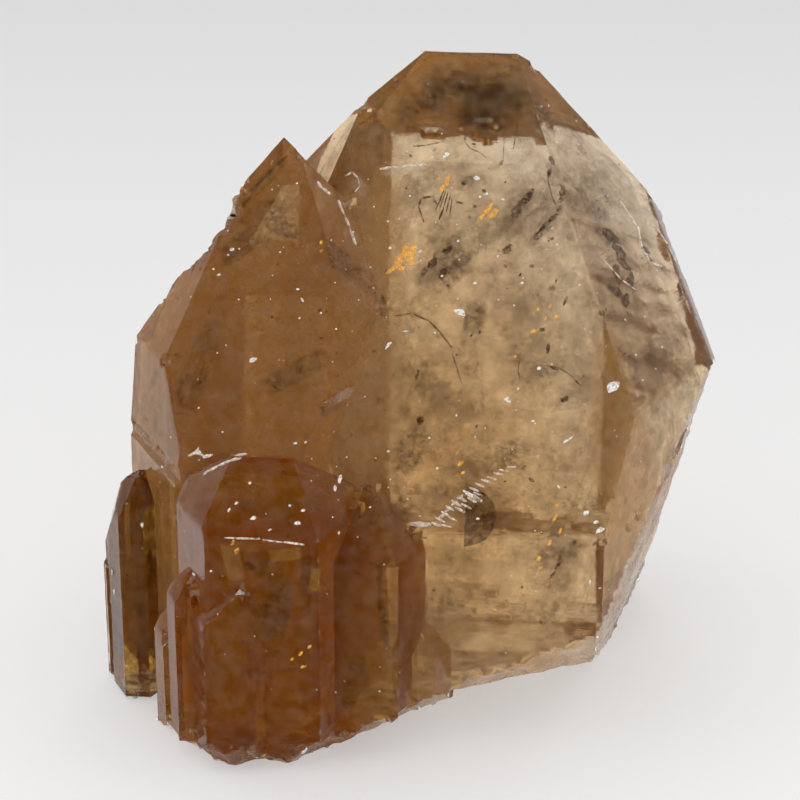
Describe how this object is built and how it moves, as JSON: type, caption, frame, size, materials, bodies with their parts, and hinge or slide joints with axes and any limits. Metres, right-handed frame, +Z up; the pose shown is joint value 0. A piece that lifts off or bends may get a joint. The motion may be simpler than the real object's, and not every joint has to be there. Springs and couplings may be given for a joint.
{
  "type": "citrine crystal point",
  "caption": "Citrine crystal point: smoky orange-brown quartz points grown together, standing upright on the broken base.",
  "frame": {"origin": "middle of the bounding box, on the level of the broken base", "axes": "+Z up along the crystals' length, +X to the right of the tall point, +Y to the back; the stepped row of small columns faces -Y"},
  "size_m": [0.1274, 0.1012, 0.1266],
  "materials": {
    "citrine": "glossy"
  },
  "bodies": {
    "root": {"citrine_point": "citrine"}
  },
  "joints": []
}
